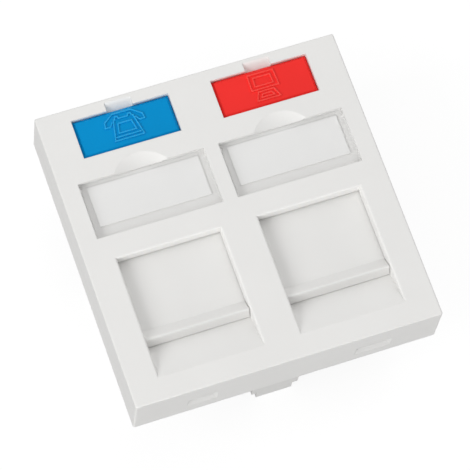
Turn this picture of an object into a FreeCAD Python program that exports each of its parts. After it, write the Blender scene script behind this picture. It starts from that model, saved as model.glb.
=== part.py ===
"""Snap-in 45 mm outlet module for two keystone jacks, with sprung shutters, label windows and icon inserts.

Frame: the module lies on its back. +Z points out of the front face, +Y towards the icon inserts,
and the origin is under the middle of the plate, level with the rear ends of the jack cages.
All sizes are millimetres. Depths are counted backwards from the front face.
"""
import FreeCAD, Part
import Sketcher
import os
import re

SIZES = (
    # The square front cover
    ("plate_width", 45.0, "front plate, left to right"),
    ("plate_height", 45.0, "front plate, foot to top"),
    ("module_depth", 19.6, "front face to the rear ends of cages and clips"),
    ("cover_depth", 8.4, "front face to the rear rim of the cover"),
    ("side_wall", 1.6, "side walls of the cover"),
    ("face_wall", 1.7, "front wall over the shutters"),
    ("corner_round", 0.3, "upright corners of the cover"),
    ("edge_round", 0.2, "front edges of the cover"),
    ("port_pitch", 20.8, "between the two port columns"),
    # Shutter windows with the lead-in ramp below
    ("window_width", 15.3, "window, left to right"),
    ("window_top", 0.95, "top of a window below the middle of the plate"),
    ("window_foot", 13.8, "foot of a window below the middle of the plate"),
    ("window_round", 0.3, "front edge of a window"),
    ("ramp_foot", 19.2, "where the ramp comes level with the face"),
    ("ramp_depth", 2.38, "ramp at the foot of the window"),
    # Label windows and strips
    ("label_width", 18.6, "label recess, left to right"),
    ("label_height", 8.55, "label recess, foot to top"),
    ("label_rise", 6.9, "middle of the label recess above the middle of the plate"),
    ("label_depth", 1.15, "floor of the label recess"),
    ("label_rim_side", 0.95, "clear rim at the short sides of a label"),
    ("label_rim_top", 0.6, "clear rim above a label"),
    ("label_rim_foot", 1.65, "clear rim below a label"),
    ("lens_skin", 0.55, "clear sheet over a label"),
    ("lens_round", 0.1, "upper edges of a label window"),
    ("nub_radius", 0.3, "locating nub at the short sides of a label recess"),
    ("nub_rise", 3.3, "locating nub above the middle of a label recess"),
    ("nub_height", 0.8, "locating nub over the floor of a label recess"),
    ("strip_thickness", 0.2, "label strip"),
    ("scoop_width", 8.0, "finger scoop along the label's edge"),
    ("scoop_rise", 2.2, "finger scoop above the label's edge"),
    ("scoop_ball", 9.8, "radius of the ball that hollows the scoop"),
    # Icon inserts
    ("icon_width", 14.5, "icon recess, left to right"),
    ("icon_height", 6.0, "icon recess, foot to top"),
    ("icon_rise", 17.65, "middle of the icon recess above the middle of the plate"),
    ("icon_depth", 1.2, "floor of the icon recess"),
    ("icon_sunk", 0.3, "face of an insert below the front face"),
    ("icon_bevel", 0.4, "bevel round the face of an insert"),
    ("leg_spread", 9.6, "between the two legs of an insert"),
    ("leg_width", 1.4, "leg of an insert, left to right"),
    ("leg_height", 2.2, "leg of an insert, foot to top"),
    ("pry_width", 3.9, "pry notch over an insert"),
    ("pry_rise", 1.25, "pry notch above the icon recess"),
    ("pry_depth", 1.0, "pry notch at the insert"),
    # Release notches in the lower side
    ("notch_left_width", 4.5, "left release notch"),
    ("notch_left_place", 12.55, "left release notch from the middle"),
    ("notch_right_width", 5.4, "right release notch"),
    ("notch_right_place", 12.7, "right release notch from the middle"),
    ("notch_start", 3.7, "upper edge of a release notch"),
    ("notch_height", 2.6, "release notch, front to back"),
    ("notch_depth", 0.3, "floor of a release notch in the side wall"),
    ("notch_brow", 1.3, "slope at the front of a release notch"),
    ("notch_toe", 1.0, "slope at the back of a release notch"),
    ("notch_cheek", 0.6, "slope at each end of a release notch"),
    # Shutters
    ("shutter_lap", 1.2, "shutter behind the front wall at each side"),
    ("shutter_thickness", 1.2, "shutter panel"),
    ("shutter_travel", 10.8, "way from shut to open"),
    ("ridge_head", 2.05, "upper start of the finger ridge above the foot of the shutter"),
    ("ridge_crest", 0.34, "crest of the finger ridge above the foot of the shutter"),
    ("ridge_height", 1.3, "crest of the finger ridge over the panel"),
    ("ridge_round", 0.25, "rounding of the finger ridge"),
    ("ridge_lap", 0.2, "lip of the finger ridge over the upper edge of the ramp"),
    ("lug_thickness", 1.2, "spring lug of a shutter"),
    # Return springs
    ("spring_diameter", 2.4, "spring over its coils"),
    ("spring_wire", 0.3, "spring wire"),
    ("spring_turns", 8.0, "coils of a spring"),
    ("peg_length", 1.5, "pegs that hold the spring ends"),
    # Rear carrier
    ("carrier_plate", 1.6, "plate behind the shutters"),
    ("skirt_wall", 1.4, "rim of the carrier inside the cover"),
    ("trough_wall", 1.0, "walls of a spring trough"),
    ("port_drop", 7.575, "middle of a jack opening below the middle of the plate"),
    ("port_width", 14.9, "jack opening, left to right"),
    ("port_height", 16.4, "jack opening, foot to top"),
    ("cage_wall", 1.4, "walls of a jack cage"),
    ("cage_foot_depth", 12.6, "rear edge of the fixed catch under a jack"),
    ("cage_head_depth", 11.6, "rear edge of the latch ledge over a jack"),
    ("cage_lead", 0.7, "lead-in at the rear of a jack cage"),
    ("web_wall", 1.2, "web between the two cages"),
    ("web_depth", 11.0, "rear edge of the web"),
    ("snap_length", 5.0, "snap rib on the rim"),
    ("snap_height", 0.45, "snap rib over the rim"),
    ("snap_depth", 6.6, "crest of a snap rib"),
    ("snap_run", 0.9, "slope of a snap rib"),
    ("snap_spread", 24.0, "between the two snap ribs of a side"),
    # Frame clips
    ("clip_inset", 2.2, "outer face of a clip inside the plate's edge"),
    ("clip_width", 7.0, "clip arm"),
    ("clip_wall", 1.4, "clip arm, thickness"),
    ("clip_tip_width", 5.4, "tip of a clip"),
    ("clip_tip_length", 1.8, "tip of a clip"),
    ("clip_slot", 0.8, "slot beside a clip arm in the rim"),
    ("frame_grip", 2.2, "edge of the mounting frame held between rim and catch"),
    ("catch_height", 1.0, "catch over the clip arm"),
    ("catch_run", 2.2, "slope of the catch"),
    # Clearances
    ("shutter_gap", 0.2, "shutter in its channel"),
    ("ridge_gap", 0.08, "finger ridge beside its window and over the ramp"),
    ("fit_gap", 0.15, "carrier in the cover"),
    ("inlay_gap", 0.12, "label window in its recess, and legs of an insert in their slots"),
    ("seat_gap", 0.05, "label window over the floor of its recess and round the locating nubs"),
    ("icon_gap", 0.06, "insert in its recess"),
    ("spring_gap", 0.1, "spring over and under its coils"),
    ("peg_gap", 0.3, "peg inside a spring, and spring beside its trough"),
)

# Places worked out from the sizes above
FRONT = "module_depth"
RIM = "(module_depth - cover_depth)"
COLUMN = "(port_pitch / 2)"
SEAT_DEPTH = "(face_wall + shutter_thickness + 2 * shutter_gap)"
SEAT = f"(module_depth - {SEAT_DEPTH})"
CARRIER_BACK = f"({SEAT} - carrier_plate)"
CAVITY_WIDTH = "(plate_width - 2 * side_wall)"
CAVITY_HEIGHT = "(plate_height - 2 * side_wall)"
CARRIER_WIDTH = f"({CAVITY_WIDTH} - 2 * fit_gap)"
CARRIER_HEIGHT = f"({CAVITY_HEIGHT} - 2 * fit_gap)"
PORT_MIDDLE = "(-port_drop)"
CAGE_HEAD = f"({PORT_MIDDLE} + port_height / 2 + cage_wall)"
SHUTTER_WIDTH = "(window_width + 2 * shutter_lap)"
CHANNEL_WIDTH = f"({SHUTTER_WIDTH} + 2 * shutter_gap)"
LUG_FOOT = f"({CAGE_HEAD} + 2 * shutter_gap)"
SHUTTER_TOP = f"({LUG_FOOT} + lug_thickness)"
SHUTTER_FOOT = "(-window_foot + shutter_gap / 2)"
CHANNEL_TOP = f"({SHUTTER_TOP} + shutter_travel + shutter_gap)"
SHUTTER_FRONT = "(module_depth - face_wall - shutter_gap)"
SHUTTER_BACK = f"({SHUTTER_FRONT} - shutter_thickness)"
RAMP_AT_LIP = "(ramp_depth * (1 - ridge_lap / (ramp_foot - window_foot)))"
RIDGE_LIP = f"(module_depth - {RAMP_AT_LIP} + ridge_gap)"
SPRING_AXIS = f"({SEAT} - spring_gap - spring_diameter / 2)"
TROUGH_FLOOR = f"({SEAT} - 2 * spring_gap - spring_diameter)"
TROUGH_WIDTH = "(spring_diameter + 2 * peg_gap)"
TROUGH_TOP = f"({CARRIER_HEIGHT} / 2 - skirt_wall - trough_wall)"
PEG_DIAMETER = "(spring_diameter - 2 * spring_wire - 2 * peg_gap)"
LABEL_TOP = "(label_rise + label_height / 2)"
CARD_MIDDLE = "(label_rise + (label_rim_foot - label_rim_top) / 2)"
CARD_WIDTH = "(label_width - 2 * label_rim_side)"
CARD_HEIGHT = "(label_height - label_rim_top - label_rim_foot)"
ICON_TOP = "(icon_rise + icon_height / 2)"
SCOOP_RADIUS = "((scoop_width ^ 2 / 4 + scoop_rise ^ 2) / (2 * scoop_rise))"
CLIP_FACE = "(plate_height / 2 - clip_inset)"

document = FreeCAD.newDocument("KeystoneModule")
sheet = document.addObject("Spreadsheet::Sheet", "Sizes")


def fill_sheet():
    """Write every driving size to the sheet: number, name as alias, and meaning."""
    for row, (alias, value, meaning) in enumerate(SIZES, start=1):
        sheet.set(f"A{row}", meaning)
        sheet.set(f"B{row}", str(value))
        sheet.setAlias(f"B{row}", alias)
    document.recompute()


def bound(text):
    """Expression with every size name pointed at the sheet."""
    return re.sub(r"[a-z][a-z_]+\b(?!\()", r"Sizes.\g<0>", text)


def number(text):
    """Present value of an expression in size names."""
    return float(sheet.evalExpression(bound(text)))


def new_body(label, column="0"):
    """Empty body whose own x = 0 lies on a column of the module."""
    body = document.addObject("PartDesign::Body", label)
    body.Label = label
    body.setExpression("Placement.Base.x", bound(column))
    return body


def new_sketch(body, name, role, **offset):
    """Sketch on an origin plane of its body, shifted along the plane's own x, y and normal z."""
    sketch = body.newObject("Sketcher::SketchObject", name + "_sketch")
    plane = next(f for f in body.Origin.OriginFeatures if f.Role == role)
    sketch.AttachmentSupport = (plane, "")
    sketch.MapMode = "FlatFace"
    for axis, expression in offset.items():
        sketch.setExpression("AttachmentOffset.Base." + axis, bound(expression))
    return sketch


def dimension(sketch, kind, references, expression):
    """Dimension of a sketch that follows an expression."""
    constraint = Sketcher.Constraint(kind, *references, number(expression))
    index = sketch.addConstraint(constraint)
    sketch.setExpression(f"Constraints[{index}]", bound(expression))


def polygon(sketch, corners):
    """Closed outline through corners given as pairs of expressions."""
    points = [FreeCAD.Vector(number(across), number(up), 0) for across, up in corners]
    first = sketch.GeometryCount
    count = len(points)
    for here in range(count):
        sketch.addGeometry(Part.LineSegment(points[here], points[(here + 1) % count]))
    for here in range(count):
        following = first + (here + 1) % count
        sketch.addConstraint(Sketcher.Constraint("Coincident", first + here, 2, following, 1))
    for here, (across, up) in enumerate(corners, start=first):
        dimension(sketch, "DistanceX", (-1, 1, here, 1), across)
        dimension(sketch, "DistanceY", (-1, 1, here, 1), up)


def rectangle(sketch, width, height, across="0", up="0"):
    """Rectangle about a middle point, with its width and height as dimensions."""
    left, low = f"{across} - ({width}) / 2", f"{up} - ({height}) / 2"
    corner = FreeCAD.Vector(number(left), number(low), 0)
    wide, tall = number(width), number(height)
    steps = ((0, 0), (wide, 0), (wide, tall), (0, tall))
    points = [corner + FreeCAD.Vector(x, y, 0) for x, y in steps]
    first = sketch.GeometryCount
    for here in range(4):
        sketch.addGeometry(Part.LineSegment(points[here], points[(here + 1) % 4]))
    for here in range(4):
        following = first + (here + 1) % 4
        sketch.addConstraint(Sketcher.Constraint("Coincident", first + here, 2, following, 1))
        level = "Vertical" if here % 2 else "Horizontal"
        sketch.addConstraint(Sketcher.Constraint(level, first + here))
    dimension(sketch, "DistanceX", (first, 1, first, 2), width)
    dimension(sketch, "DistanceY", (first + 1, 1, first + 1, 2), height)
    dimension(sketch, "DistanceX", (-1, 1, first, 1), left)
    dimension(sketch, "DistanceY", (-1, 1, first, 1), low)


def circle(sketch, diameter, across="0", up="0"):
    """Circle about a middle point."""
    middle = FreeCAD.Vector(number(across), number(up), 0)
    index = sketch.addGeometry(Part.Circle(middle, FreeCAD.Vector(0, 0, 1), number(diameter) / 2))
    dimension(sketch, "Diameter", (index,), diameter)
    dimension(sketch, "DistanceX", (-1, 1, index, 3), across)
    dimension(sketch, "DistanceY", (-1, 1, index, 3), up)


def extrude(kind, sketch, length, reverse=False, both_ways=False):
    """Pad or pocket of a sketch."""
    body = sketch.getParentGeoFeatureGroup()
    feature = body.newObject("PartDesign::" + kind, sketch.Name.replace("_sketch", ""))
    feature.Profile = sketch
    feature.setExpression("Length", bound(length))
    feature.Reversed = reverse
    feature.Midplane = both_ways
    return feature


def level_box(kind, body, name, size, place, levels):
    """Rectangular pad or pocket between two heights, the lower one first."""
    low, high = levels
    sketch = new_sketch(body, name, "XY_Plane", z=low)
    rectangle(sketch, *size, *place)
    return extrude(kind, sketch, f"({high}) - ({low})", reverse=kind == "Pocket")


def side_profile(kind, body, name, corners, width, across="0"):
    """Pad or pocket of a y-z outline, spread evenly about a place along x."""
    sketch = new_sketch(body, name, "YZ_Plane", z=across)
    polygon(sketch, corners)
    return extrude(kind, sketch, width, both_ways=True)


def mirror(body, name, features, role):
    """Mirror features across an origin plane of their body and make that the body's result."""
    copy = body.newObject("PartDesign::Mirrored", name)
    copy.Originals = features
    plane = next(f for f in body.Origin.OriginFeatures if f.Role == role)
    copy.MirrorPlane = (plane, [""])
    body.Tip = copy
    document.recompute()
    return copy


def round_edges(kind, body, name, size, wanted):
    """Fillet or chamfer the edges of a body whose middle point passes a test."""
    document.recompute()
    base = body.Tip
    edges = enumerate(base.Shape.Edges, start=1)
    names = [f"Edge{index}" for index, edge in edges if wanted(edge.CenterOfMass)]
    feature = body.newObject("PartDesign::" + kind, name)
    feature.Base = (base, names)
    feature.setExpression("Radius" if kind == "Fillet" else "Size", bound(size))
    document.recompute()
    return feature


def near(value, text, slack=0.01):
    """Does a coordinate lie at the place of an expression?"""
    return abs(value - number(text)) < slack


def front_cover():
    """Square cover with windows, ramps, label and icon recesses, scoops, notches and rear channels."""
    body = new_body("front_cover")
    level_box("Pad", body, "block", ("plate_width", "plate_height"), (), (RIM, FRONT))
    round_edges("Fillet", body, "corners", "corner_round",
                lambda at: near(at.z, "module_depth - cover_depth / 2"))
    round_edges("Fillet", body, "front_edges", "edge_round", lambda at: near(at.z, FRONT))
    level_box("Pocket", body, "cavity", (CAVITY_WIDTH, CAVITY_HEIGHT), (), (RIM, SEAT))

    channel_height = f"({CHANNEL_TOP} + window_foot)"
    channel_middle = f"({CHANNEL_TOP} - window_foot) / 2"
    window_height = "(window_foot - window_top)"
    window_middle = "-(window_foot + window_top) / 2"
    column = [
        level_box("Pocket", body, "shutter_channel", (CHANNEL_WIDTH, channel_height),
                  (COLUMN, channel_middle), (SEAT, "module_depth - face_wall")),
        level_box("Pocket", body, "shutter_window", ("window_width", window_height),
                  (COLUMN, window_middle), ("module_depth - face_wall", FRONT)),
        side_profile("Pocket", body, "ramp", (
            ("-window_foot", FRONT),
            ("-window_foot", "module_depth - ramp_depth"),
            ("-ramp_foot", FRONT),
        ), "window_width", COLUMN),
        level_box("Pocket", body, "label_recess", ("label_width", "label_height"),
                  (COLUMN, "label_rise"), ("module_depth - label_depth", FRONT)),
        level_box("Pocket", body, "icon_recess", ("icon_width", "icon_height"),
                  (COLUMN, "icon_rise"), ("module_depth - icon_depth", FRONT)),
        side_profile("Pocket", body, "pry_notch", (
            (ICON_TOP, FRONT),
            (ICON_TOP, "module_depth - pry_depth"),
            (f"{ICON_TOP} + pry_rise", FRONT),
        ), "pry_width", COLUMN),
        finger_scoop(body),
        label_nubs(body),
        leg_slots(body),
    ]
    mirror(body, "second_column", column, "YZ_Plane")
    round_edges("Fillet", body, "window_edges", "window_round", on_window_edge)
    seats = snap_ribs("Pocket", body, "snap_seat", "2 * fit_gap")
    mirror(body, "snap_seats_left", seats, "YZ_Plane")
    for side, sign in (("left", "-"), ("right", "")):
        release_notch(body, side, f"{sign}notch_{side}_place")
    return body


def on_window_edge(at):
    """Does a point lie on the front edge of a shutter window, at its top or its sides?"""
    aside = abs(abs(at.x) - number(COLUMN))
    at_top = near(at.y, "-window_top") and aside < number("window_width / 2")
    at_side = near(aside, "window_width / 2") and at.y < number("-window_top")
    return near(at.z, FRONT) and (at_top or at_side)


def finger_scoop(body):
    """Ball-shaped hollow in the face at the upper edge of a label recess."""
    scoop = body.newObject("PartDesign::SubtractiveSphere", "finger_scoop")
    plane = next(f for f in body.Origin.OriginFeatures if f.Role == "XY_Plane")
    scoop.AttachmentSupport = (plane, "")
    scoop.MapMode = "FlatFace"
    scoop.setExpression("Radius", bound("scoop_ball"))
    scoop.setExpression("AttachmentOffset.Base.x", bound(COLUMN))
    scoop.setExpression("AttachmentOffset.Base.y", bound(f"{LABEL_TOP} + scoop_rise - {SCOOP_RADIUS}"))
    over_face = f"sqrt(scoop_ball ^ 2 - {SCOOP_RADIUS} ^ 2)"
    scoop.setExpression("AttachmentOffset.Base.z", bound(f"module_depth + {over_face}"))
    return scoop


def label_nubs(body):
    """Half-round nubs at the short sides of a label recess."""
    sketch = new_sketch(body, "label_nubs", "XY_Plane", z="module_depth - label_depth")
    for sign in "-+":
        circle(sketch, "2 * nub_radius", f"{COLUMN} {sign} label_width / 2", "label_rise + nub_rise")
    return extrude("Pad", sketch, "nub_height")


def release_notch(body, side, across):
    """Dished notch in the lower side, with slopes all round a narrow floor."""
    low = "(module_depth - notch_start - notch_height)"
    width = f"notch_{side}_width"
    mouth = new_sketch(body, f"release_notch_{side}_mouth", "XZ_Plane", z="plate_height / 2")
    rectangle(mouth, width, "notch_height", across, f"{low} + notch_height / 2")
    floor = new_sketch(body, f"release_notch_{side}_floor", "XZ_Plane", z="plate_height / 2 - notch_depth")
    rectangle(floor, f"{width} - 2 * notch_cheek", "notch_height - notch_brow - notch_toe", across,
              f"{low} + (notch_toe + notch_height - notch_brow) / 2")
    notch = body.newObject("PartDesign::SubtractiveLoft", f"release_notch_{side}")
    notch.Profile = mouth
    notch.Sections = [floor]
    notch.Ruled = True


def leg_slots(body):
    """Slots in the floor of an icon recess for the legs of its insert."""
    sketch = new_sketch(body, "leg_slots", "XY_Plane", z=SEAT)
    for sign in "-+":
        size = ("leg_width + 2 * inlay_gap", "leg_height + 2 * inlay_gap")
        rectangle(sketch, *size, f"{COLUMN} {sign} leg_spread / 2", "icon_rise")
    return extrude("Pocket", sketch, f"{SEAT_DEPTH} - icon_depth", reverse=True)


def snap_outline(growth):
    """Outline of a snap rib or its seat in the x-z plane, grown by a clearance."""
    face = f"({CARRIER_WIDTH} / 2)"
    reach = f"(snap_height + {growth})"
    return (
        (face, f"module_depth - snap_depth + {reach}"),
        (f"{face} + {reach}", "module_depth - snap_depth"),
        (face, f"module_depth - snap_depth - snap_run - {growth}"),
    )


def snap_ribs(kind, body, name, growth):
    """Pair of snap ribs, or of their seats, along the right side."""
    features = []
    for end, sign in (("lower", ""), ("upper", "-")):
        sketch = new_sketch(body, f"{name}_{end}", "XZ_Plane", z=f"{sign}snap_spread / 2")
        polygon(sketch, snap_outline(growth))
        features.append(extrude(kind, sketch, f"snap_length + 2 * {growth}", both_ways=True))
    return features


def shutter(label, column):
    """Sliding panel with a lipped finger ridge in front and a spring lug behind."""
    body = new_body(label, column)
    panel_height = f"({SHUTTER_TOP} - {SHUTTER_FOOT})"
    panel_middle = f"({SHUTTER_TOP} + {SHUTTER_FOOT}) / 2"
    level_box("Pad", body, "panel", (SHUTTER_WIDTH, panel_height), ("0", panel_middle),
              (SHUTTER_BACK, SHUTTER_FRONT))
    side_profile("Pad", body, "finger_ridge", (
        ("-window_foot - ridge_lap", RIDGE_LIP),
        (f"{SHUTTER_FOOT} + ridge_crest", f"{SHUTTER_FRONT} + ridge_height"),
        (f"{SHUTTER_FOOT} + ridge_head", SHUTTER_FRONT),
        (f"{SHUTTER_FOOT} + ridge_head", RIDGE_LIP),
    ), "window_width - 2 * ridge_gap")
    lug_back = f"({TROUGH_FLOOR} + shutter_gap)"
    level_box("Pad", body, "lug", (f"{TROUGH_WIDTH} - 2 * shutter_gap", "lug_thickness"),
              ("0", f"{LUG_FOOT} + lug_thickness / 2"), (lug_back, SHUTTER_BACK))
    sketch = new_sketch(body, "peg", "XZ_Plane", z=f"-{SHUTTER_TOP}")
    circle(sketch, PEG_DIAMETER, "0", SPRING_AXIS)
    extrude("Pad", sketch, "peg_length", reverse=True)
    crest = f"{SHUTTER_FOOT} + ridge_crest"
    round_edges("Fillet", body, "ridge_crest", "ridge_round",
                lambda at: near(at.y, crest) and near(at.z, f"{SHUTTER_FRONT} + ridge_height"))
    return body


def rear_carrier():
    """Carrier with the plate behind the shutters, spring troughs, jack cages, snap ribs and frame clips."""
    body = new_body("rear_carrier")
    level_box("Pad", body, "plate", (CARRIER_WIDTH, CARRIER_HEIGHT), (), (CARRIER_BACK, SEAT))
    skirt = new_sketch(body, "skirt", "XY_Plane", z=RIM)
    rectangle(skirt, CARRIER_WIDTH, CARRIER_HEIGHT)
    rectangle(skirt, f"{CARRIER_WIDTH} - 2 * skirt_wall", f"{CARRIER_HEIGHT} - 2 * skirt_wall")
    extrude("Pad", skirt, f"{CARRIER_BACK} - {RIM}")
    level_box("Pocket", body, "clip_gaps", ("clip_width + 2 * clip_slot", "plate_height"), (),
              (RIM, CARRIER_BACK))
    mirror(body, "second_column", spring_trough(body) + jack_cage(body), "YZ_Plane")
    round_edges("Chamfer", body, "cage_lead_in", "cage_lead",
                lambda at: near(at.z, "0") and near(abs(abs(at.x) - number(COLUMN)), "port_width / 2"))
    level_box("Pad", body, "web", ("port_pitch - port_width - cage_wall", "web_wall"),
              ("0", PORT_MIDDLE), ("module_depth - web_depth", CARRIER_BACK))
    mirror(body, "upper_clip", frame_clip(body), "XZ_Plane")
    ribs = snap_ribs("Pad", body, "snap_rib", "0")
    mirror(body, "snap_ribs_left", ribs, "YZ_Plane")
    return body


def spring_trough(body):
    """Trough behind the plate with an end peg for the return spring."""
    trough_foot = f"({LUG_FOOT} - shutter_gap)"
    outer_top = f"({TROUGH_TOP} + trough_wall)"
    outer_height = f"({outer_top} - {CAGE_HEAD})"
    outer_middle = f"({outer_top} + {CAGE_HEAD}) / 2"
    outer_width = f"{TROUGH_WIDTH} + 2 * trough_wall"
    block = level_box("Pad", body, "trough_block", (outer_width, outer_height), (COLUMN, outer_middle),
                      (f"{TROUGH_FLOOR} - trough_wall", CARRIER_BACK))
    hollow = level_box("Pocket", body, "trough", (TROUGH_WIDTH, f"{TROUGH_TOP} - {trough_foot}"),
                       (COLUMN, f"({TROUGH_TOP} + {trough_foot}) / 2"), (TROUGH_FLOOR, SEAT))
    sketch = new_sketch(body, "end_peg", "XZ_Plane", z=f"-{TROUGH_TOP}")
    circle(sketch, PEG_DIAMETER, COLUMN, SPRING_AXIS)
    peg = extrude("Pad", sketch, "peg_length")
    return [block, hollow, peg]


def jack_cage(body):
    """Four-walled cage for a jack that is pushed in from behind."""
    outer = ("port_width + 2 * cage_wall", "port_height + 2 * cage_wall")
    cheeks = level_box("Pad", body, "cage_block", outer, (COLUMN, PORT_MIDDLE), ("0", CARRIER_BACK))
    port = level_box("Pocket", body, "jack_port", ("port_width", "port_height"), (COLUMN, PORT_MIDDLE),
                     ("0", SEAT))
    wall_middle = "(port_height + cage_wall) / 2"
    cut = ("port_width", "cage_wall")
    foot = level_box("Pocket", body, "cage_foot_edge", cut, (COLUMN, f"{PORT_MIDDLE} - {wall_middle}"),
                     ("0", "module_depth - cage_foot_depth"))
    head = level_box("Pocket", body, "cage_head_edge", cut, (COLUMN, f"{PORT_MIDDLE} + {wall_middle}"),
                     ("0", "module_depth - cage_head_depth"))
    return [cheeks, port, foot, head]


def frame_clip(body):
    """Flexible arm at the lower side with a catch for the mounting frame."""
    middle = f"-{CLIP_FACE} + clip_wall / 2"
    arm = level_box("Pad", body, "clip_arm", ("clip_width", "clip_wall"), ("0", middle),
                    ("clip_tip_length", CARRIER_BACK))
    tip = level_box("Pad", body, "clip_tip", ("clip_tip_width", "clip_wall"), ("0", middle),
                    ("0", "clip_tip_length"))
    catch_level = f"({RIM} - frame_grip)"
    catch = side_profile("Pad", body, "clip_catch", (
        (f"-{CLIP_FACE}", catch_level),
        (f"-{CLIP_FACE} - catch_height", f"{catch_level} - catch_height / 4"),
        (f"-{CLIP_FACE}", f"{catch_level} - catch_run"),
    ), "clip_tip_width")
    return [arm, tip, catch]


def return_spring(label, column):
    """Compression spring between the shutter's lug and the end of its trough."""
    length = f"({TROUGH_TOP} - {SHUTTER_TOP} - spring_gap)"
    radius = "(spring_diameter - spring_wire) / 2"
    coil = document.addObject("Part::Helix", label + "_coil")
    coil.setExpression("Radius", bound(radius))
    coil.setExpression("Height", bound(f"{length} - spring_wire"))
    coil.setExpression("Pitch", bound(f"({length} - spring_wire) / spring_turns"))
    wire = document.addObject("Part::RegularPolygon", label + "_wire")
    wire.Polygon = 6
    wire.setExpression("Circumradius", bound("spring_wire / 2"))
    wire.setExpression("Placement.Base.x", bound(radius))
    wire.Placement.Rotation = FreeCAD.Rotation(FreeCAD.Vector(1, 0, 0), 90)
    spring = document.addObject("Part::Sweep", label)
    spring.Label = label
    spring.Sections = [wire]
    spring.Spine = (coil, [])
    spring.Solid = True
    spring.Frenet = True
    spring.Placement.Rotation = FreeCAD.Rotation(FreeCAD.Vector(1, 0, 0), -90)
    spring.setExpression("Placement.Base.x", bound(column))
    spring.setExpression("Placement.Base.y", bound(f"{SHUTTER_TOP} + (spring_gap + spring_wire) / 2"))
    spring.setExpression("Placement.Base.z", bound(SPRING_AXIS))
    return spring


def label_window(label, column):
    """Clear tray over a label strip, with a notch for the locating nub at each short side."""
    body = new_body(label, column)
    width, height = "label_width - 2 * inlay_gap", "label_height - 2 * inlay_gap"
    foot = "(module_depth - label_depth + seat_gap)"
    level_box("Pad", body, "tray", (width, height), ("0", "label_rise"), (foot, FRONT))
    round_edges("Fillet", body, "upper_edges", "lens_round", lambda at: near(at.z, FRONT))
    sketch = new_sketch(body, "nub_notches", "XY_Plane", z=foot)
    for sign in "-+":
        circle(sketch, "2 * (nub_radius + seat_gap)", f"{sign}label_width / 2", "label_rise + nub_rise")
    extrude("Pocket", sketch, "label_depth", reverse=True)
    level_box("Pocket", body, "label_space", (CARD_WIDTH, CARD_HEIGHT), ("0", CARD_MIDDLE),
              (foot, "module_depth - lens_skin"))
    return body


def label_strip(label, column):
    """Blank card strip on the floor of a label recess."""
    body = new_body(label, column)
    size = (f"{CARD_WIDTH} - 2 * inlay_gap", f"{CARD_HEIGHT} - 2 * inlay_gap")
    foot = "(module_depth - label_depth)"
    level_box("Pad", body, "card", size, ("0", CARD_MIDDLE), (foot, f"{foot} + strip_thickness"))
    return body


def icon_insert(label, column):
    """Coloured plate with a bevelled face and two legs."""
    body = new_body(label, column)
    width, height = "icon_width - 2 * icon_gap", "icon_height - 2 * icon_gap"
    face = "(module_depth - icon_sunk)"
    foot = "(module_depth - icon_depth)"
    level_box("Pad", body, "plate", (width, height), ("0", "icon_rise"), (foot, face))
    round_edges("Chamfer", body, "face_bevel", "icon_bevel", lambda at: near(at.z, face))
    legs = new_sketch(body, "legs", "XY_Plane", z=f"{SEAT} + inlay_gap")
    for sign in "-+":
        rectangle(legs, "leg_width", "leg_height", f"{sign}leg_spread / 2", "icon_rise")
    extrude("Pad", legs, f"{foot} - {SEAT} - inlay_gap")
    return body


def check(pieces):
    """Stop if any object failed to build or any piece is not a sound solid."""
    failed = [item.Name for item in document.Objects if {"Invalid", "Error"} & set(item.State)]
    if failed:
        raise RuntimeError("not built: " + ", ".join(failed))
    for piece in pieces:
        if piece.Shape.isNull() or not piece.Shape.isValid():
            raise RuntimeError("not a sound solid: " + piece.Label)


def main():
    """Build every piece, check it and write it to the parts folder."""
    fill_sheet()
    pieces = [front_cover(), rear_carrier()]
    for side, column in (("left", f"-{COLUMN}"), ("right", COLUMN)):
        pieces += [
            shutter(f"shutter_{side}", column),
            return_spring(f"return_spring_{side}", column),
            label_window(f"label_window_{side}", column),
            label_strip(f"label_strip_{side}", column),
            icon_insert(f"icon_insert_{side}", column),
        ]
    document.recompute()
    check(pieces)
    os.makedirs("parts", exist_ok=True)
    for piece in pieces:
        piece.Shape.exportStep(f"parts/{piece.Label}.step")
        box = piece.Shape.BoundBox
        spans = ((box.XMin, box.XMax), (box.YMin, box.YMax), (box.ZMin, box.ZMax))
        reach = ", ".join(f"{low:.2f} to {high:.2f}" for low, high in spans)
        print(f"{piece.Label}: {piece.Shape.Volume:.1f} mm3, {len(piece.Shape.Solids)} solid, {reach}")


main()
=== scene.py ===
"""Looks of a snap-in outlet module for two keystone jacks.

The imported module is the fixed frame. This script gives every piece of it a finish, adds round-wire
return springs, raised pictograms and ejector marks, and sets the floor, the light and the camera.
"""
import logging
import math
from dataclasses import dataclass, field
from enum import Enum

import bmesh
import bpy
from mathutils import Matrix, Vector


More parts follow.
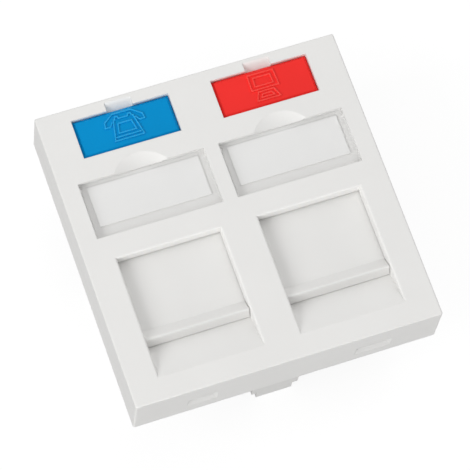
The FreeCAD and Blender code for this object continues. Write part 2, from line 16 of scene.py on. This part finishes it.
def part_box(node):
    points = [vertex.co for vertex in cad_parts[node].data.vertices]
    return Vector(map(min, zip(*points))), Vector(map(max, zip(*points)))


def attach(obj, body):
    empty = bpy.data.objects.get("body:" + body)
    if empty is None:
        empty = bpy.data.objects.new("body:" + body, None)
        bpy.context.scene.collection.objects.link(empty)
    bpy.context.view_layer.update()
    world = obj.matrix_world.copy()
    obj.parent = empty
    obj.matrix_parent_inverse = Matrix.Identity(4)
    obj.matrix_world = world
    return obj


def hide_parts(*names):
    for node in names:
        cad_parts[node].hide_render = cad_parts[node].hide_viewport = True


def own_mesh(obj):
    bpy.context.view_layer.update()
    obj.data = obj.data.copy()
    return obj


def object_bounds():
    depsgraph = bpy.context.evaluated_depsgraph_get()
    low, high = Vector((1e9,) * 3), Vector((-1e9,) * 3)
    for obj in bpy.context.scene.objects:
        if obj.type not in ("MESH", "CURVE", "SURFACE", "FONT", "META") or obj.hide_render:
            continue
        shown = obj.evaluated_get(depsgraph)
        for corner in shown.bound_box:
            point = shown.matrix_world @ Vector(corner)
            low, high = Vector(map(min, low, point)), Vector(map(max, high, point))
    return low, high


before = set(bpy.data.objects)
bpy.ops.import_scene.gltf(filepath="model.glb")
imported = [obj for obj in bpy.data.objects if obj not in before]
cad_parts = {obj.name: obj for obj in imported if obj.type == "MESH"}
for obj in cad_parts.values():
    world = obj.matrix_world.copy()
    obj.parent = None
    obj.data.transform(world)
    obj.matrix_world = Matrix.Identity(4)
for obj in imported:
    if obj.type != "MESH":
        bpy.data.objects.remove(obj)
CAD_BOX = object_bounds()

MM = 0.001
HOUSING = "housing"
NOISE_LOW, NOISE_HIGH = 0.3, 0.7
EDGE_SAMPLES = 4
WHITE = (1.0, 1.0, 1.0, 1.0)
Triple = tuple[float, float, float]
Colour = Triple
Outline = tuple[tuple[float, float], ...]
LOG = logging.getLogger("outlet_module")


class Side(Enum):
    """The two port columns of the module."""

    LEFT = "left"
    RIGHT = "right"


class Board:
    """Shader board of one material: adds nodes and joins their sockets."""

    def __init__(self, name: str) -> None:
        """Make a material with a plain Principled shader.

        Args:
            name: Name of the material.
        """
        self.material = bpy.data.materials.new(name)
        self.material.use_nodes = True
        self.tree = self.material.node_tree
        self.shader = self.tree.nodes["Principled BSDF"]
        self.output = self.tree.nodes["Material Output"]
        self.place = self.tree.nodes.new("ShaderNodeTexCoord").outputs["Object"]

    def add(self, kind: str, **settings: object) -> bpy.types.Node:
        """Add a node and set its own properties.

        Args:
            kind: Type of the node.
            **settings: Properties of the node, by name.

        Returns:
            The new node.
        """
        node = self.tree.nodes.new(kind)
        for name, value in settings.items():
            setattr(node, name, value)
        return node

    def join(self, source: bpy.types.NodeSocket, target: bpy.types.NodeSocket) -> None:
        """Link an output to an input."""
        self.tree.links.new(source, target)

    def fix(self, **constants: float) -> None:
        """Set sockets of the shader that are the same all over, with _ for a space in a name."""
        for name, value in constants.items():
            self.shader.inputs[name.replace("_", " ")].default_value = value

    def noise(
        self, size: float, detail: float, stretch: Triple = (1.0, 1.0, 1.0)
    ) -> bpy.types.NodeSocket:
        """Noise whose blotches have a real size.

        Args:
            size: Width of a blotch in metres.
            detail: Octaves of finer noise.
            stretch: Scale of the place along each axis, to draw the blotches out.

        Returns:
            The noise value, nearly all of it from NOISE_LOW to NOISE_HIGH.
        """
        mapping = self.add("ShaderNodeMapping")
        mapping.inputs["Scale"].default_value = stretch
        self.join(self.place, mapping.inputs["Vector"])
        texture = self.add("ShaderNodeTexNoise")
        texture.inputs["Scale"].default_value = 1.0 / size
        texture.inputs["Detail"].default_value = detail
        self.join(mapping.outputs["Vector"], texture.inputs["Vector"])
        return texture.outputs["Fac"]

    def spread(
        self, value: bpy.types.NodeSocket, low: float, high: float
    ) -> bpy.types.NodeSocket:
        """Spread a noise over a range.

        Args:
            value: Noise value.
            low: Result where the noise is low.
            high: Result where the noise is high.

        Returns:
            The value in its range.
        """
        node = self.add("ShaderNodeMapRange")
        node.inputs["From Min"].default_value = NOISE_LOW
        node.inputs["From Max"].default_value = NOISE_HIGH
        node.inputs["To Min"].default_value = low
        node.inputs["To Max"].default_value = high
        self.join(value, node.inputs["Value"])
        return node.outputs["Result"]

    def tint(
        self, value: bpy.types.NodeSocket, colour: Colour, change: float
    ) -> bpy.types.NodeSocket:
        """Let a colour darken a little with a noise.

        Args:
            value: Noise value.
            colour: Full colour.
            change: Share of the colour that is lost where the noise is low.

        Returns:
            The colour.
        """
        node = self.add("ShaderNodeMix", data_type="RGBA")
        node.inputs["A"].default_value = (*(part * (1.0 - change) for part in colour), 1.0)
        node.inputs["B"].default_value = (*colour, 1.0)
        self.join(self.spread(value, 0.0, 1.0), node.inputs["Factor"])
        return node.outputs["Result"]

    def soften(self, radius: float) -> bpy.types.NodeSocket:
        """Normal that rounds sharp edges by a radius in metres."""
        node = self.add("ShaderNodeBevel", samples=EDGE_SAMPLES)
        node.inputs["Radius"].default_value = radius
        return node.outputs["Normal"]

    def bump(
        self, height: bpy.types.NodeSocket, depth: float, normal: bpy.types.NodeSocket | None = None
    ) -> bpy.types.NodeSocket:
        """Bump the surface.

        Args:
            height: Height pattern from 0 to 1.
            depth: Depth of the pattern in metres.
            normal: Normal to start from, or None for the face's own.

        Returns:
            The bumped normal.
        """
        node = self.add("ShaderNodeBump")
        node.inputs["Distance"].default_value = depth
        self.join(height, node.inputs["Height"])
        if normal is not None:
            self.join(normal, node.inputs["Normal"])
        return node.outputs["Normal"]


@dataclass(frozen=True)
class MouldedPlastic:
    """Opaque injection-moulded plastic with a fine spark-eroded grain."""

    colour: Colour
    roughness: float
    roughness_spread: float = 0.06
    cast: float = 0.02
    grain_size: float = 0.12 * MM
    grain_detail: float = 3.0
    grain_depth: float = 0.003 * MM
    flow_size: float = 9.0 * MM
    flow_detail: float = 2.0
    edge_round: float = 0.08 * MM
    index: float = 1.5
    gloss: float = 0.5

    def make(self, name: str) -> bpy.types.Material:
        """Build the material under a name and return it."""
        board = Board(name)
        flow = board.noise(self.flow_size, self.flow_detail)
        grain = board.noise(self.grain_size, self.grain_detail)
        board.fix(IOR=self.index, Specular_IOR_Level=self.gloss)
        shader = board.shader.inputs
        board.join(board.tint(flow, self.colour, self.cast), shader["Base Color"])
        smooth = self.roughness - self.roughness_spread
        rough = self.roughness + self.roughness_spread
        board.join(board.spread(grain, smooth, rough), shader["Roughness"])
        rounded = board.soften(self.edge_round)
        board.join(board.bump(grain, self.grain_depth, rounded), shader["Normal"])
        return board.material


@dataclass(frozen=True)
class ClearPlastic:
    """Polished see-through plastic that lets light straight through to what lies under it.

    Each face that the light passes keeps lamp_share of it.
    """

    colour: Colour = (0.99, 0.99, 0.99)
    cast: float = 0.01
    index: float = 1.49
    smooth: float = 0.018
    rough: float = 0.042
    wave_size: float = 2.5 * MM
    wave_detail: float = 1.0
    wave_depth: float = 0.001 * MM
    lamp_share: float = 0.97

    def make(self, name: str) -> bpy.types.Material:
        """Build the material under a name and return it."""
        board = Board(name)
        board.fix(IOR=self.index, Transmission_Weight=1.0)
        wave = board.noise(self.wave_size, self.wave_detail)
        shader = board.shader.inputs
        board.join(board.tint(wave, self.colour, self.cast), shader["Base Color"])
        board.join(board.spread(wave, self.smooth, self.rough), shader["Roughness"])
        board.join(board.bump(wave, self.wave_depth), shader["Normal"])
        through = board.add("ShaderNodeBsdfTransparent")
        through.inputs["Color"].default_value = (*[self.lamp_share] * 3, 1.0)
        rays = board.add("ShaderNodeLightPath")
        surface = board.shader.outputs["BSDF"]
        for kind in ("Is Shadow Ray", "Is Diffuse Ray", "Is Glossy Ray"):
            blend = board.add("ShaderNodeMixShader")
            board.join(rays.outputs[kind], blend.inputs["Fac"])
            board.join(surface, blend.inputs[1])
            board.join(through.outputs["BSDF"], blend.inputs[2])
            surface = blend.outputs["Shader"]
        board.join(surface, board.output.inputs["Surface"])
        return board.material


@dataclass(frozen=True)
class LabelCard:
    """Uncoated white card with short fibres."""

    colour: Colour = (0.9, 0.898, 0.887)
    cast: float = 0.015
    smooth: float = 0.75
    rough: float = 0.9
    fibre_size: float = 0.15 * MM
    fibre_detail: float = 4.0
    fibre_stretch: Triple = (1.0, 0.3, 1.0)
    fibre_depth: float = 0.006 * MM
    cloud_size: float = 1.8 * MM
    cloud_detail: float = 2.0

    def make(self, name: str) -> bpy.types.Material:
        """Build the material under a name and return it."""
        board = Board(name)
        fibre = board.noise(self.fibre_size, self.fibre_detail, self.fibre_stretch)
        cloud = board.noise(self.cloud_size, self.cloud_detail)
        shader = board.shader.inputs
        board.join(board.tint(cloud, self.colour, self.cast), shader["Base Color"])
        board.join(board.spread(fibre, self.smooth, self.rough), shader["Roughness"])
        board.join(board.bump(fibre, self.fibre_depth), shader["Normal"])
        return board.material


@dataclass(frozen=True)
class SpringWire:
    """Bright drawn spring steel with fine draw marks."""

    colour: Colour = (0.62, 0.62, 0.61)
    cast: float = 0.2
    smooth: float = 0.22
    rough: float = 0.4
    mark_size: float = 0.05 * MM
    mark_detail: float = 3.0
    mark_stretch: Triple = (0.15, 1.0, 0.15)
    mark_depth: float = 0.002 * MM

    def make(self, name: str) -> bpy.types.Material:
        """Build the material under a name and return it."""
        board = Board(name)
        board.fix(Metallic=1.0)
        marks = board.noise(self.mark_size, self.mark_detail, self.mark_stretch)
        shader = board.shader.inputs
        board.join(board.tint(marks, self.colour, self.cast), shader["Base Color"])
        board.join(board.spread(marks, self.smooth, self.rough), shader["Roughness"])
        board.join(board.bump(marks, self.mark_depth), shader["Normal"])
        return board.material


class Finish(Enum):
    """Finishes named as the record's material slots, and those of the pictograms' lines, which are
    lighter than their inserts as a painted highlight on the crests.
    """

    white_plastic = MouldedPlastic((0.85, 0.844, 0.828), 0.46, edge_round=0.16 * MM)
    # painted shade: the carrier's white is darker than the cover's, for the shade its clip lies in
    # under the cover
    carrier_plastic = MouldedPlastic((0.775, 0.77, 0.755), 0.42, grain_depth=0.002 * MM)
    # painted shade: the shutter's white is a little darker than the cover's, for the shade in its
    # recess
    shutter_plastic = MouldedPlastic((0.835, 0.829, 0.813), 0.40, grain_depth=0.002 * MM)
    spring_steel = SpringWire()
    clear_plastic = ClearPlastic()
    label_card = LabelCard()
    insert_blue = MouldedPlastic((0.0, 0.292, 0.66), 0.42, cast=0.05, gloss=0.06)
    insert_red = MouldedPlastic((0.98, 0.038, 0.033), 0.42, cast=0.05, gloss=0.06)
    # painted highlight: the lines are lighter than their inserts, for the light on their crests
    line_blue = MouldedPlastic((0.008, 0.37, 0.76), 0.25, cast=0.05, gloss=0.2)
    line_red = MouldedPlastic((0.99, 0.062, 0.05), 0.25, cast=0.05, gloss=0.2)

    def material(self) -> bpy.types.Material:
        """Material of this finish, made at its first use."""
        name = f"{self.name}_finish"
        return bpy.data.materials.get(name) or self.value.make(name)


def dress(piece: bpy.types.Object, finish: Finish) -> None:
    """Give a piece one finish all over.

    Args:
        piece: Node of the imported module, or a new piece.
        finish: Finish to take.
    """
    piece.data.materials.clear()
    piece.data.materials.append(finish.material())
    LOG.info("%s dressed in %s", piece.name, finish.name)


def new_piece(
    name: str, mesh: bmesh.types.BMesh, body: str, finish: Finish
) -> bpy.types.Object:
    """Make a finished piece that rides on a body.

    Args:
        name: Name of the piece.
        mesh: Its shape, in metres and in place. It is freed.
        body: Body that carries the piece.
        finish: Its finish.

    Returns:
        The new object.
    """
    bmesh.ops.recalc_face_normals(mesh, faces=mesh.faces)
    data = bpy.data.meshes.new(name)
    mesh.to_mesh(data)
    mesh.free()
    piece = bpy.data.objects.new(name, data)
    bpy.context.scene.collection.objects.link(piece)
    dress(piece, finish)
    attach(piece, body)
    return piece


def middle_of(node: str) -> Vector:
    """Middle of a node's box at rest."""
    low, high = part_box(node)
    return (low + high) / 2


@dataclass(frozen=True)
class Stroke:
    """Line of a pictogram through points in millimetres from the middle of its insert."""

    points: Outline
    closed: bool = True


@dataclass
class RaisedLines:
    """Thin raised lines with a rounded crest on a flat face that looks along +Z."""

    width: float = 0.24 * MM
    height: float = 0.2 * MM
    sunk: float = 0.03 * MM
    crest: float = 0.09 * MM
    crest_steps: int = 3
    crest_profile: float = 0.5

    def band(self, mesh: bmesh.types.BMesh, stroke: Stroke) -> list[bmesh.types.BMFace]:
        """Draw a stroke as a flat band with mitred corners.

        Args:
            mesh: Mesh to draw in.
            stroke: Line to draw.

        Returns:
            The faces of the band.
        """
        points = [Vector(point) * MM for point in stroke.points]
        count = len(points)
        steps = [(points[(here + 1) % count] - points[here]).normalized() for here in range(count)]
        rims = []
        for here, point in enumerate(points):
            before = steps[here - 1] if here or stroke.closed else steps[here]
            after = steps[here] if here < count - 1 or stroke.closed else before
            turn = before.orthogonal() + after.orthogonal()
            across = turn * (self.width / turn.length_squared)
            sides = (point - across, point + across)
            rims.append([mesh.verts.new((*place, -self.sunk)) for place in sides])
        pairs = zip(rims, rims[1:] + rims[:1] if stroke.closed else rims[1:])
        return [mesh.faces.new((*first, *reversed(last))) for first, last in pairs]

    def add(self, mesh: bmesh.types.BMesh, stroke: Stroke) -> None:
        """Add a raised line.

        Args:
            mesh: Mesh to add to.
            stroke: Line to raise.
        """
        band = self.band(mesh, stroke)
        grown = bmesh.ops.extrude_face_region(mesh, geom=band, use_keep_orig=True)["geom"]
        top = [item for item in grown if isinstance(item, bmesh.types.BMVert)]
        bmesh.ops.translate(mesh, verts=top, vec=(0.0, 0.0, self.height + self.sunk))
        roof = [item for item in grown if isinstance(item, bmesh.types.BMFace)]
        edges = [edge for face in roof for edge in face.edges]
        rim = [edge for edge in edges if sum(face in roof for face in edge.link_faces) == 1]
        bmesh.ops.bevel(
            mesh, geom=rim, offset=self.crest, affect="EDGES", segments=self.crest_steps,
            profile=self.crest_profile, material=-1,
        )


def trapezoid(foot: float, top: float, low: float, high: float) -> Stroke:
    """Upright trapezoid about the middle line.

    Args:
        foot: Half its width below.
        top: Half its width above.
        low: Level of its foot.
        high: Level of its top.

    Returns:
        Its outline as a closed line.
    """
    return Stroke(((-foot, low), (foot, low), (top, high), (-top, high)))


class Service(Enum):
    """What a port is for, as the lines on its insert show it."""

    TELEPHONE = (
        Stroke(
            (
                (-1.72, 1.15), (-2.15, 0.52), (-2.9, 0.52), (-2.82, 1.28), (-1.4, 2.34),
                (1.4, 2.34), (2.82, 1.28), (2.9, 0.52), (2.15, 0.52), (1.72, 1.15),
            ),
            closed=False,
        ),
        Stroke(
            (
                (-2.12, -1.74), (2.12, -1.74), (1.46, 1.46), (1.24, 1.46),
                (1.16, 1.86), (0.76, 1.86), (0.7, 1.5), (-0.7, 1.5),
                (-0.76, 1.86), (-1.16, 1.86), (-1.24, 1.46), (-1.46, 1.46),
            )
        ),
        trapezoid(1.3, 1.0, -0.72, 0.76),
        Stroke(((-1.9, -1.26), (1.9, -1.26)), closed=False),
    )
    COMPUTER = (
        trapezoid(2.02, 1.92, -0.22, 2.2),
        trapezoid(1.36, 1.28, 0.28, 1.66),
        trapezoid(1.72, 1.18, -1.95, -0.62),
        trapezoid(0.98, 0.68, -1.55, -1.06),
    )


@dataclass
class Housing:
    """Front cover and rear carrier, with the ejector marks behind."""

    mark_radius: float = 1.2 * MM
    mark_sides: int = 32
    mark_height: float = 0.05 * MM
    mark_sunk: float = 0.02 * MM
    mark_step: float = 0.25 * MM
    plate_back: float = 14.7 * MM
    mark_places: Outline = ((-16.6, 13.5), (-4.4, 13.5), (4.4, 13.5), (16.6, 13.5))

    def build(self) -> None:
        """Build the ejector marks on the back of the carrier's plate."""
        mesh = bmesh.new()
        for across, up in self.mark_places:
            disc = bmesh.ops.create_circle(
                mesh, cap_ends=True, segments=self.mark_sides, radius=self.mark_radius
            )
            place = (across * MM, up * MM, self.plate_back + self.mark_sunk)
            bmesh.ops.translate(mesh, verts=disc["verts"], vec=place)
            face = disc["verts"][0].link_faces[0]
            grown = bmesh.ops.extrude_face_region(mesh, geom=[face], use_keep_orig=True)["geom"]
            end = [item for item in grown if isinstance(item, bmesh.types.BMVert)]
            bmesh.ops.translate(mesh, verts=end, vec=(0.0, 0.0, -self.mark_height - self.mark_sunk))
            cap = [item for item in grown if isinstance(item, bmesh.types.BMFace)]
            bmesh.ops.inset_region(
                mesh, faces=cap, thickness=self.mark_step, depth=-self.mark_height / 2
            )
        new_piece("ejector_marks", mesh, HOUSING, Finish.carrier_plastic)

    def dress(self) -> None:
        """Give the cover and the carrier their plastics; the carrier's darker white is painted
        shade.
        """
        dress(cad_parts["front_cover"], Finish.white_plastic)
        dress(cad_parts["rear_carrier"], Finish.carrier_plastic)


@dataclass
class ReturnSpring:
    """Round-wire compression spring behind a shutter, with closed end coils."""

    side: Side
    wire: float = 0.3 * MM
    outer: float = 2.4 * MM
    end_turns: float = 1.0
    live_turns: float = 6.0
    steps_per_turn: int = 28
    wire_sides: int = 10
    weld_reach: float = 0.003 * MM
    pressed_length: float = 3.85 * MM

    def coil(
        self,
        mesh: bmesh.types.BMesh,
        ends: list[bmesh.types.BMEdge],
        axis: Vector,
        turns: float,
        rise: float,
    ) -> list[bmesh.types.BMEdge]:
        """Wind the open end of the wire on about the spring's axis.

        Args:
            mesh: Mesh that holds the wire.
            ends: Edges round the wire's end.
            axis: A point on the spring's axis.
            turns: Turns to wind.
            rise: Way along +Y that these turns take.

        Returns:
            Edges round the wire's new end.
        """
        steps = round(turns * self.steps_per_turn)
        wound = bmesh.ops.spin(
            mesh, geom=ends, cent=axis, axis=(0.0, 1.0, 0.0), dvec=(0.0, rise / steps, 0.0),
            angle=turns * math.tau, steps=steps,
        )
        return [item for item in wound["geom_last"] if isinstance(item, bmesh.types.BMEdge)]

    def build(self) -> None:
        """Build the spring in its trough, in place of the plain one."""
        node = f"return_spring_{self.side.value}"
        low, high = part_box(node)
        axis = middle_of(node)
        axis.y = low.y + self.wire / 2
        mesh = bmesh.new()
        start = bmesh.ops.create_circle(mesh, segments=self.wire_sides, radius=self.wire / 2)
        reach = Vector(((self.outer - self.wire) / 2, 0.0, 0.0))
        bmesh.ops.translate(mesh, verts=start["verts"], vec=axis + reach)
        ends = list(mesh.edges)
        live_rise = high.y - low.y - self.wire * (1.0 + 2.0 * self.end_turns)
        ends = self.coil(mesh, ends, axis, self.end_turns, self.wire * self.end_turns)
        ends = self.coil(mesh, ends, axis, self.live_turns, live_rise)
        self.coil(mesh, ends, axis, self.end_turns, self.wire * self.end_turns)
        bmesh.ops.remove_doubles(mesh, verts=mesh.verts, dist=self.weld_reach)
        bmesh.ops.holes_fill(mesh, edges=mesh.edges, sides=self.wire_sides)
        for face in mesh.faces:
            face.smooth = len(face.verts) == 4
        spring = new_piece(f"{node}_wire", mesh, HOUSING, Finish.spring_steel)
        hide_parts(node)
        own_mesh(spring)


@dataclass
class Shutter:
    """Sliding panel that closes a port."""

    side: Side

    def dress(self) -> None:
        """Give the panel its plastic, whose slightly darker white is painted shade."""
        dress(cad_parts[f"shutter_{self.side.value}"], Finish.shutter_plastic)


@dataclass
class LabelWindow:
    """Clear window over a blank label strip."""

    side: Side

    def dress(self) -> None:
        """Make the window clear and the strip card."""
        dress(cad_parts[f"label_window_{self.side.value}"], Finish.clear_plastic)
        dress(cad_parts[f"label_strip_{self.side.value}"], Finish.label_card)


@dataclass
class IconInsert:
    """Coloured insert with a raised pictogram in a lighter colour, a painted highlight on its
    crests.
    """

    side: Side
    finish: Finish
    highlit_line_finish: Finish
    service: Service
    lines: RaisedLines = field(default_factory=RaisedLines)

    @property
    def node(self) -> str:
        """Name of the insert's node, which is its body too."""
        return f"icon_insert_{self.side.value}"

    def build(self) -> None:
        """Build the pictogram on the insert's face."""
        low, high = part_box(self.node)
        mesh = bmesh.new()
        for stroke in self.service.value:
            self.lines.add(mesh, stroke)
        face = Vector(((low.x + high.x) / 2, (low.y + high.y) / 2, high.z))
        bmesh.ops.translate(mesh, verts=mesh.verts, vec=face)
        new_piece(f"{self.node}_pictogram", mesh, self.node, self.highlit_line_finish)

    def dress(self) -> None:
        """Give the insert its colour."""
        dress(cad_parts[self.node], self.finish)


def sky_point(bearing: float, elevation: float) -> Vector:
    """Direction in the sky.

    Args:
        bearing: Degrees, 0 towards -Y and 90 towards +X.
        elevation: Degrees above the floor.

    Returns:
        Unit vector towards it.
    """
    turn, rise = math.radians(bearing), math.radians(elevation)
    flat = math.cos(rise)
    return Vector((math.sin(turn) * flat, -math.cos(turn) * flat, math.sin(rise)))


@dataclass
class SoftLamp:
    """Square soft box aimed at the module.

    Its level is the brightness that it gives a white face turned towards it.
    """

    name: str
    bearing: float
    elevation: float
    level: float
    width: float
    distance: float = 0.7

    def build(self, target: Vector) -> None:
        """Set up the lamp.

        Args:
            target: Point that it is aimed at.
        """
        light = bpy.data.lights.new(self.name, "AREA")
        light.size = self.width
        light.energy = self.level * (math.pi * self.distance) ** 2
        lamp = bpy.data.objects.new(self.name, light)
        bpy.context.scene.collection.objects.link(lamp)
        towards = sky_point(self.bearing, self.elevation)
        lamp.location = target + towards * self.distance
        lamp.rotation_euler = towards.to_track_quat("Z", "Y").to_euler()
        lamp.visible_transmission = False
        LOG.info("%s set up", self.name)


@dataclass
class Studio:
    """White floor, soft light and the camera at the photograph's angle."""

    lamps: tuple[SoftLamp, ...] = (
        SoftLamp("key_lamp", bearing=-84.0, elevation=35.0, level=0.485, width=0.36),
        SoftLamp("front_lamp", bearing=-12.0, elevation=32.0, level=0.355, width=0.8),
        SoftLamp("low_lamp", bearing=-10.0, elevation=5.0, level=0.22, width=0.12),
        SoftLamp("back_lamp", bearing=145.0, elevation=39.0, level=0.5, width=0.9),
    )
    fill: float = 0.3
    floor_width: float = 3.0
    floor_colour: Colour = (0.15, 0.15, 0.15)
    floor_roughness: float = 0.9
    floor_glow: float = 0.89
    aim: Triple = (-1.23 * MM, -2.63 * MM, 19.6 * MM)
    bearing: float = -30.02
    elevation: float = 68.03
    roll: float = 11.53
    distance: float = 418.3 * MM
    lens: float = 229.9
    sensor: float = 36.0
    near: float = 10.0 * MM

    def seen_rays(self, tree: bpy.types.NodeTree) -> bpy.types.NodeSocket:
        """Switch that is on for rays that show the background.

        They come straight from the camera, off a mirror or through clear plastic.

        Args:
            tree: Node tree to add it to.

        Returns:
            The switch, 0 or 1.
        """
        rays = tree.nodes.new("ShaderNodeLightPath")
        total = rays.outputs["Is Camera Ray"]
        for name in ("Is Glossy Ray", "Is Transmission Ray"):
            either = tree.nodes.new("ShaderNodeMath")
            either.operation = "MAXIMUM"
            tree.links.new(total, either.inputs[0])
            tree.links.new(rays.outputs[name], either.inputs[1])
            total = either.outputs["Value"]
        before_bounce = tree.nodes.new("ShaderNodeMath")
        before_bounce.operation = "SUBTRACT"
        before_bounce.use_clamp = True
        tree.links.new(total, before_bounce.inputs[0])
        tree.links.new(rays.outputs["Diffuse Depth"], before_bounce.inputs[1])
        return before_bounce.outputs["Value"]

    def build_world(self) -> None:
        """Make the even fill light and the white background."""
        world = bpy.data.worlds.new("studio")
        world.use_nodes = True
        tree = world.node_tree
        fill = tree.nodes["Background"]
        fill.inputs["Color"].default_value = WHITE
        fill.inputs["Strength"].default_value = self.fill
        white = tree.nodes.new("ShaderNodeBackground")
        white.inputs["Color"].default_value = WHITE
        white.inputs["Strength"].default_value = 1.0
        blend = tree.nodes.new("ShaderNodeMixShader")
        tree.links.new(self.seen_rays(tree), blend.inputs["Fac"])
        tree.links.new(fill.outputs["Background"], blend.inputs[1])
        tree.links.new(white.outputs["Background"], blend.inputs[2])
        tree.links.new(blend.outputs["Shader"], tree.nodes["World Output"].inputs["Surface"])
        bpy.context.scene.world = world

    def build_floor(self) -> None:
        """Lay the floor under the module: it looks white and keeps the module's shadow."""
        mesh = bmesh.new()
        bmesh.ops.create_grid(mesh, x_segments=1, y_segments=1, size=self.floor_width / 2)
        bmesh.ops.translate(mesh, verts=mesh.verts, vec=(0.0, 0.0, CAD_BOX[0].z))
        data = bpy.data.meshes.new("floor")
        mesh.to_mesh(data)
        mesh.free()
        floor = bpy.data.objects.new("floor", data)
        bpy.context.scene.collection.objects.link(floor)
        board = Board("floor")
        board.fix(Roughness=self.floor_roughness, Specular_IOR_Level=0.0)
        board.shader.inputs["Base Color"].default_value = (*self.floor_colour, 1.0)
        glow = board.add("ShaderNodeEmission")
        glow.inputs["Strength"].default_value = self.floor_glow
        lit = board.add("ShaderNodeAddShader")
        board.join(board.shader.outputs["BSDF"], lit.inputs[0])
        board.join(glow.outputs["Emission"], lit.inputs[1])
        blend = board.add("ShaderNodeMixShader")
        board.join(self.seen_rays(board.tree), blend.inputs["Fac"])
        board.join(board.shader.outputs["BSDF"], blend.inputs[1])
        board.join(lit.outputs["Shader"], blend.inputs[2])
        board.join(blend.outputs["Shader"], board.output.inputs["Surface"])
        floor.data.materials.append(board.material)

    def build_camera(self) -> None:
        """Place the camera, turned about its axis as the photograph is."""
        lens = bpy.data.cameras.new("camera")
        lens.sensor_width = self.sensor
        lens.lens = self.lens
        lens.clip_start = self.near
        camera = bpy.data.objects.new("camera", lens)
        bpy.context.scene.collection.objects.link(camera)
        back = sky_point(self.bearing, self.elevation)
        level = Vector((0.0, 0.0, 1.0)).cross(back).normalized()
        right = Matrix.Rotation(math.radians(self.roll), 3, back) @ level
        turn = Matrix((right, back.cross(right), back)).transposed()
        place = Vector(self.aim) + back * self.distance
        camera.matrix_world = Matrix.Translation(place) @ turn.to_4x4()
        bpy.context.scene.camera = camera

    def build(self) -> None:
        """Set up the whole studio."""
        self.build_world()
        self.build_floor()
        for lamp in self.lamps:
            lamp.build(Vector(self.aim))
        self.build_camera()
        bpy.context.scene.view_settings.view_transform = "Standard"


def main() -> None:
    """Build and dress the module piece by piece, then the studio round it."""
    logging.basicConfig(level=logging.INFO, format="%(message)s")
    housing = Housing()
    housing.build()
    housing.dress()
    for side in Side:
        ReturnSpring(side).build()
        Shutter(side).dress()
        LabelWindow(side).dress()
    inserts = (
        IconInsert(Side.LEFT, Finish.insert_blue, Finish.line_blue, Service.TELEPHONE),
        IconInsert(Side.RIGHT, Finish.insert_red, Finish.line_red, Service.COMPUTER),
    )
    for insert in inserts:
        insert.build()
        insert.dress()
    Studio().build()


if __name__ == "__main__":
    main()
